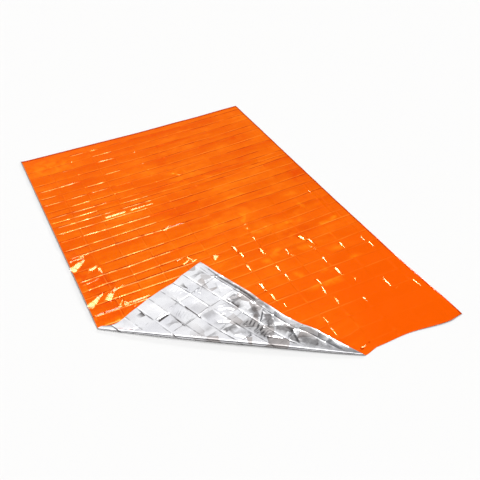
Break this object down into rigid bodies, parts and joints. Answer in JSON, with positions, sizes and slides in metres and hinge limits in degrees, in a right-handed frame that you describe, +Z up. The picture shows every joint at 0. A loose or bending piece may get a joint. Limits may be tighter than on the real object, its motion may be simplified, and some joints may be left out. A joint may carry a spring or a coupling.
{
  "type": "emergency foil blanket",
  "caption": "Laid-out emergency foil blanket: a creased film sheet, orange above and silvered below, with its front left corner turned over.",
  "frame": {"origin": "on the floor under the middle of the laid sheet's outline", "axes": "+X across the sheet to the right, +Y down its length towards the back edge, +Z up from the floor"},
  "size_m": [1.3591, 2.132, 0.0178],
  "materials": {
    "film": "glossy orange film on the upper side and bright silvered film on the underside"
  },
  "bodies": {
    "root": {"foil_blanket": "film"}
  },
  "joints": []
}
